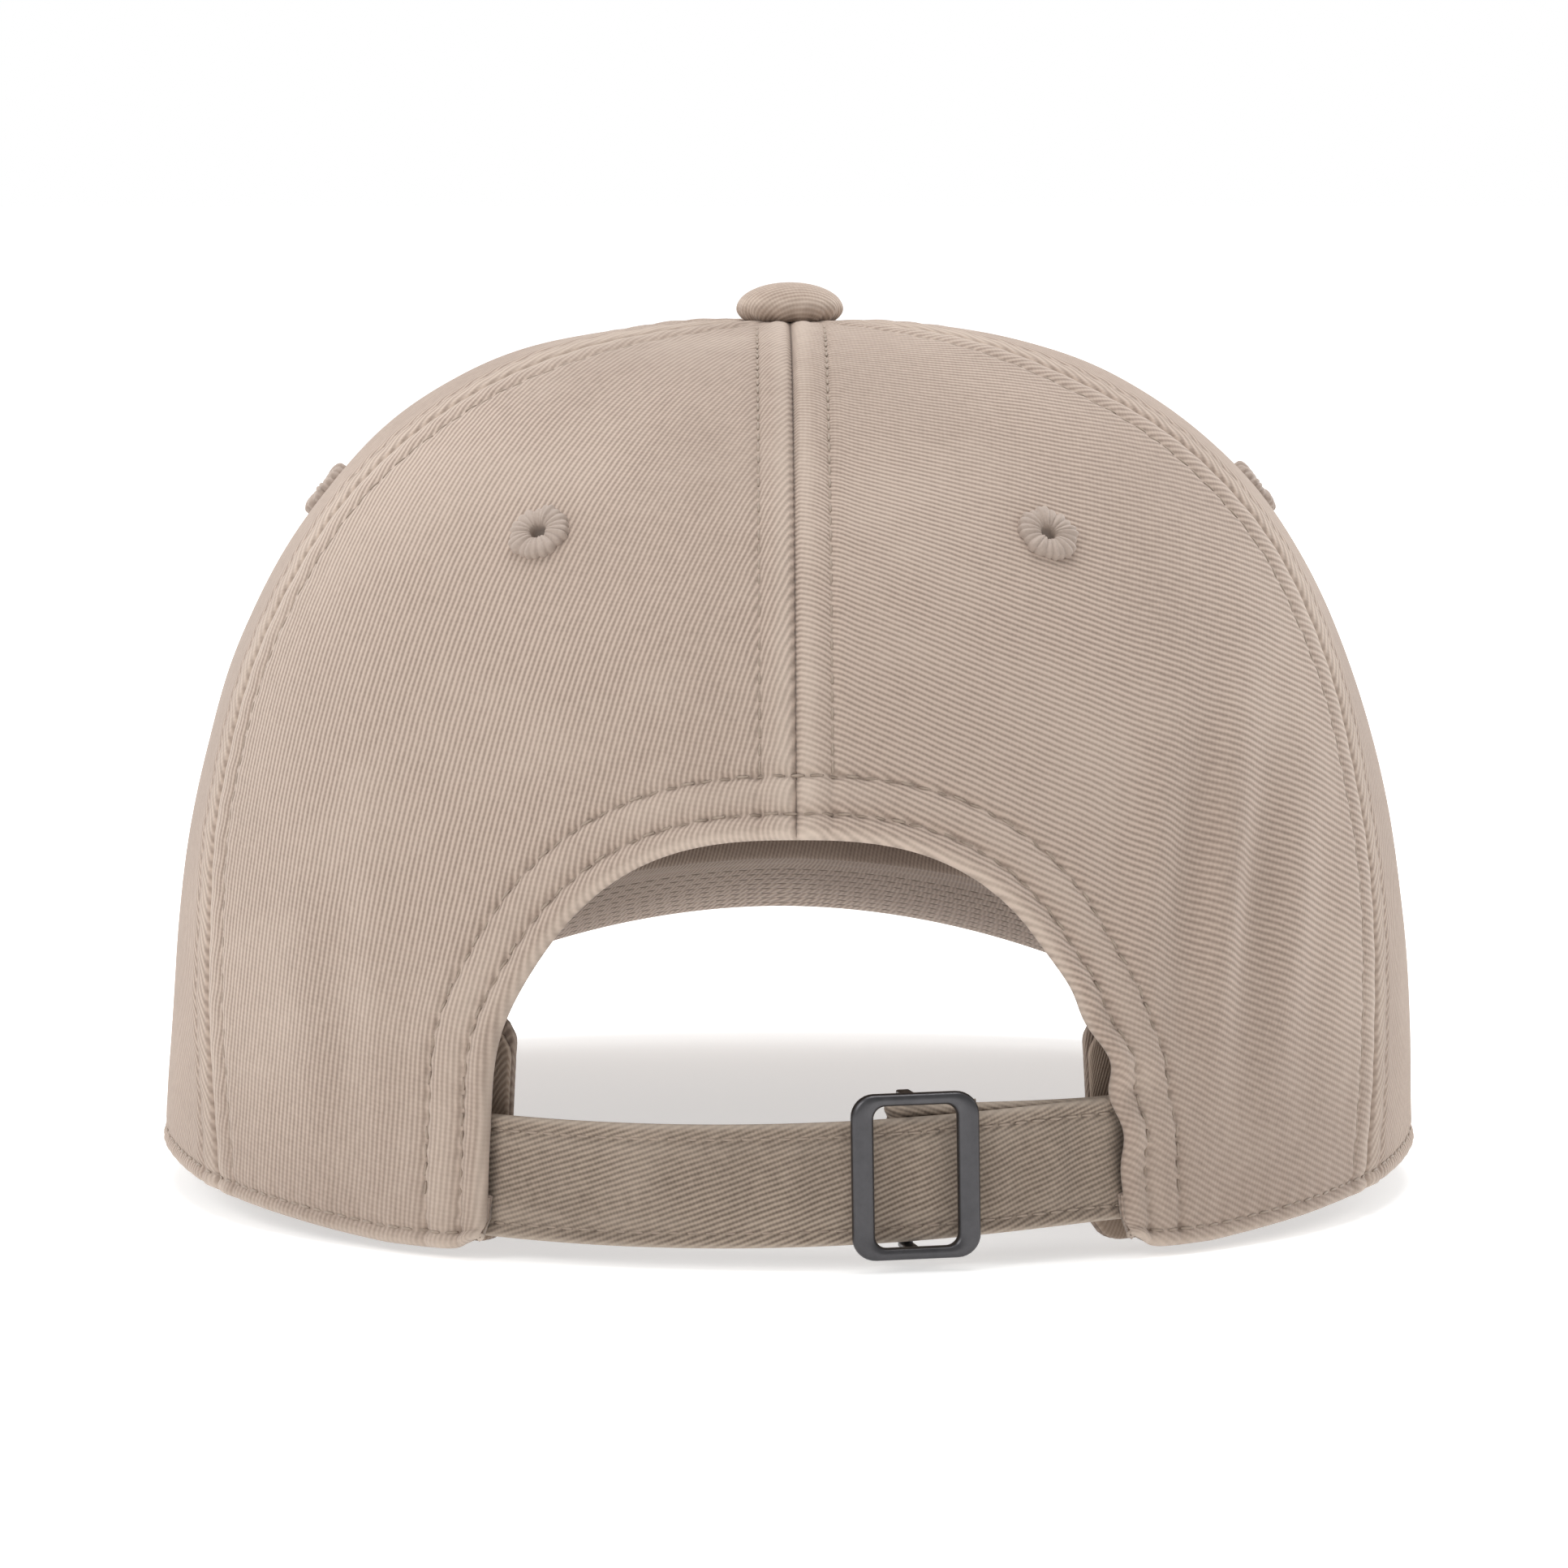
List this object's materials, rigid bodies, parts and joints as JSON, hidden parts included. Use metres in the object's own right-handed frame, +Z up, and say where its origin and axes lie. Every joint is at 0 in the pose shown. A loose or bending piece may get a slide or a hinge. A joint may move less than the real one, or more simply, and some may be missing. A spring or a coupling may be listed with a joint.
{
  "type": "baseball cap",
  "caption": "Unstructured cotton baseball cap with a curved visor, a covered top button, stitched eyelets and a rear opening closed by an adjusting strap and a slider buckle.",
  "frame": {"origin": "centre of the bounding box on the ground that the rear hem and the visor's two tips rest on", "axes": "+Z up, visor points along -Y, rear opening faces +Y, the wearer's left is +X"},
  "size_m": [0.1744, 0.2601, 0.1232],
  "materials": {
    "adjusting_strap": "cotton twill",
    "buckle_frame": "satin gunmetal",
    "buckle_tab": "cotton twill",
    "button_back": "plain",
    "button_cover": "cotton twill",
    "button_shell": "plain",
    "centre_seam_tape": "cotton twill",
    "eyelet_front_left": "embroidered thread",
    "eyelet_front_right": "embroidered thread",
    "eyelet_rear_left": "embroidered thread",
    "eyelet_rear_right": "embroidered thread",
    "eyelet_side_left": "embroidered thread",
    "eyelet_side_right": "embroidered thread",
    "front_panel_left": "cotton twill",
    "front_panel_right": "cotton twill",
    "front_seam_tape_left": "cotton twill",
    "front_seam_tape_right": "cotton twill",
    "rear_opening_facing": "cotton twill",
    "rear_panel_left": "cotton twill",
    "rear_panel_right": "cotton twill",
    "rear_seam_tape_left": "cotton twill",
    "rear_seam_tape_right": "cotton twill",
    "side_panel_left": "cotton twill",
    "side_panel_right": "cotton twill",
    "sweatband": "cotton twill",
    "sweatband_backing": "cotton twill",
    "visor_board": "plain moulded sheet",
    "visor_top_cover": "cotton twill",
    "visor_under_cover": "cotton twill"
  },
  "bodies": {
    "cap": {"adjusting_strap": "adjusting_strap", "button_back": "button_back", "button_cover": "button_cover", "button_shell": "button_shell", "centre_seam_tape": "centre_seam_tape", "eyelet_front_left": "eyelet_front_left", "eyelet_front_right": "eyelet_front_right", "eyelet_rear_left": "eyelet_rear_left", "eyelet_rear_right": "eyelet_rear_right", "eyelet_side_left": "eyelet_side_left", "eyelet_side_right": "eyelet_side_right", "front_panel_left": "front_panel_left", "front_panel_right": "front_panel_right", "front_seam_tape_left": "front_seam_tape_left", "front_seam_tape_right": "front_seam_tape_right", "rear_opening_facing": "rear_opening_facing", "rear_panel_left": "rear_panel_left", "rear_panel_right": "rear_panel_right", "rear_seam_tape_left": "rear_seam_tape_left", "rear_seam_tape_right": "rear_seam_tape_right", "side_panel_left": "side_panel_left", "side_panel_right": "side_panel_right", "sweatband": "sweatband", "sweatband_backing": "sweatband_backing", "visor_board": "visor_board", "visor_top_cover": "visor_top_cover", "visor_under_cover": "visor_under_cover"},
    "tab": {"buckle_tab": "buckle_tab"},
    "buckle": {"buckle_frame": "buckle_frame"}
  },
  "joints": [
    {"name": "buckle_slide", "type": "hinge", "parent": "cap", "child": "tab", "pos_m": [0, 0.04455, 0.0109], "axis": [0.0157, 0, 0.9999], "range_deg": [-28, 6]},
    {"name": "buckle_tilt", "type": "hinge", "parent": "tab", "child": "buckle", "pos_m": [-0.01396, 0.12062, 0.01112], "axis": [0.0157, 0, 0.9999], "range_deg": [-8, 8]}
  ]
}
